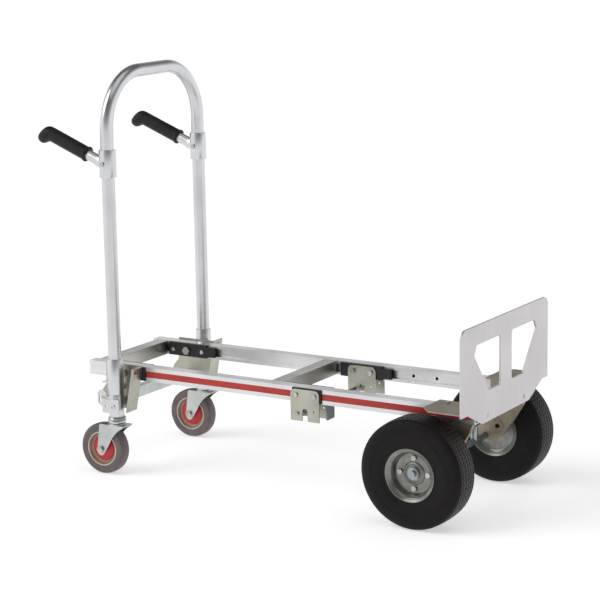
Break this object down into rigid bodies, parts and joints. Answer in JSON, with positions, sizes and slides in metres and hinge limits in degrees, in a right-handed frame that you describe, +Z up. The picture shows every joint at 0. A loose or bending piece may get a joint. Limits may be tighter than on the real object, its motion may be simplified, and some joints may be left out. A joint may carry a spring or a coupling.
{
  "type": "convertible hand truck",
  "caption": "Convertible hand truck in platform-cart position: twin rails, tall arched handle that slides and tilts, big pneumatic wheels, swivel casters and an upright nose plate.",
  "frame": {"origin": "on the floor, under the middle of the truck's overall length and width", "axes": "+X from the handle end to the nose plate, +Y to the left, +Z up"},
  "size_m": [1.1704, 0.5074, 0.996],
  "materials": {
    "mill_aluminium": "brushed",
    "polished_aluminium": "satin",
    "cast_aluminium": "cast",
    "zinc_steel": "zinc plated",
    "rim_paint": "silver paint",
    "tyre_rubber": "matte",
    "grey_rubber": "satin",
    "grip_rubber": "matte",
    "cream_plastic": "matte",
    "red_hub_plastic": "gloss",
    "red_plastic": "satin",
    "black_nylon": "matte"
  },
  "bodies": {
    "frame": {"rail_left": "mill_aluminium", "rail_right": "mill_aluminium", "rail_stripes": "red_plastic", "crossbar_rear": "mill_aluminium", "crossbar_middle": "mill_aluminium", "crossbar_front": "mill_aluminium", "nylon_blocks": "black_nylon", "nylon_spacers": "black_nylon", "block_rivets": "zinc_steel", "pivot_bolts": "zinc_steel", "latch_bolts": "zinc_steel", "latch_box_left": "zinc_steel", "latch_box_right": "zinc_steel", "nose_plate": "mill_aluminium", "gusset_left": "mill_aluminium", "gusset_right": "mill_aluminium", "axle_bracket_left": "cast_aluminium", "axle_bracket_right": "cast_aluminium", "axle": "zinc_steel", "axle_washers": "zinc_steel", "axle_clips": "zinc_steel", "axle_tie": "zinc_steel", "axle_posts": "zinc_steel", "nose_bolts": "zinc_steel"},
    "wheel_left": {"big_tyre_left": "tyre_rubber", "big_rim_left": "rim_paint", "big_hub_left": "zinc_steel", "rim_bolts_left": "zinc_steel"},
    "wheel_right": {"big_tyre_right": "tyre_rubber", "big_rim_right": "rim_paint", "big_hub_right": "zinc_steel", "rim_bolts_right": "zinc_steel"},
    "carriage": {"carriage_left": "zinc_steel", "carriage_right": "zinc_steel", "collar_left": "polished_aluminium", "collar_right": "polished_aluminium"},
    "handle": {"handle_tube": "polished_aluminium", "foot_left": "zinc_steel", "foot_right": "zinc_steel", "grip_clamp_left": "polished_aluminium", "grip_clamp_right": "polished_aluminium", "grip_left": "grip_rubber", "grip_right": "grip_rubber", "grip_tubes": "polished_aluminium", "clamp_bolts": "zinc_steel", "lower_bar": "zinc_steel", "caster_bearings": "zinc_steel"},
    "caster_left": {"caster_fork_left": "zinc_steel", "caster_axle_left": "zinc_steel"},
    "caster_wheel_left": {"caster_tyre_left": "grey_rubber", "caster_core_left": "cream_plastic", "caster_hub_left": "red_hub_plastic"},
    "caster_right": {"caster_fork_right": "zinc_steel", "caster_axle_right": "zinc_steel"},
    "caster_wheel_right": {"caster_tyre_right": "grey_rubber", "caster_core_right": "cream_plastic", "caster_hub_right": "red_hub_plastic"},
    "release": {"release_rod": "zinc_steel", "release_pawls": "zinc_steel", "release_pedal": "zinc_steel"}
  },
  "joints": [
    {"name": "big_wheel_left_spin", "type": "hinge", "parent": "frame", "child": "wheel_left", "pos_m": [0.4582, 0.2112, 0.127], "axis": [0, 1, 0], "continuous": true},
    {"name": "big_wheel_right_spin", "type": "hinge", "parent": "frame", "child": "wheel_right", "pos_m": [0.4582, -0.2112, 0.127], "axis": [0, 1, 0], "continuous": true},
    {"name": "handle_tilt", "type": "hinge", "parent": "frame", "child": "carriage", "pos_m": [-0.3818, 0, 0.249], "axis": [0, -1, 0], "range_deg": [0, 90]},
    {"name": "handle_slide", "type": "slide", "parent": "carriage", "child": "handle", "axis": [0, 0, -1], "range_m": [0, 0.444]},
    {"name": "caster_left_swivel", "type": "hinge", "parent": "handle", "child": "caster_left", "pos_m": [-0.3818, 0.1916, 0.131], "axis": [0, 0, 1], "continuous": true},
    {"name": "caster_left_spin", "type": "hinge", "parent": "caster_left", "child": "caster_wheel_left", "pos_m": [-0.42, 0.1916, 0.0635], "axis": [0, 1, 0], "continuous": true},
    {"name": "caster_right_swivel", "type": "hinge", "parent": "handle", "child": "caster_right", "pos_m": [-0.3818, -0.1916, 0.131], "axis": [0, 0, 1], "continuous": true},
    {"name": "caster_right_spin", "type": "hinge", "parent": "caster_right", "child": "caster_wheel_right", "pos_m": [-0.42, -0.1916, 0.0635], "axis": [0, 1, 0], "continuous": true},
    {"name": "latch_release", "type": "hinge", "parent": "frame", "child": "release", "pos_m": [0.1152, 0, 0.206], "axis": [0, 1, 0], "range_deg": [0, 45], "stiffness_Nm_per_rad": 1, "springref_deg": -14.32}
  ]
}
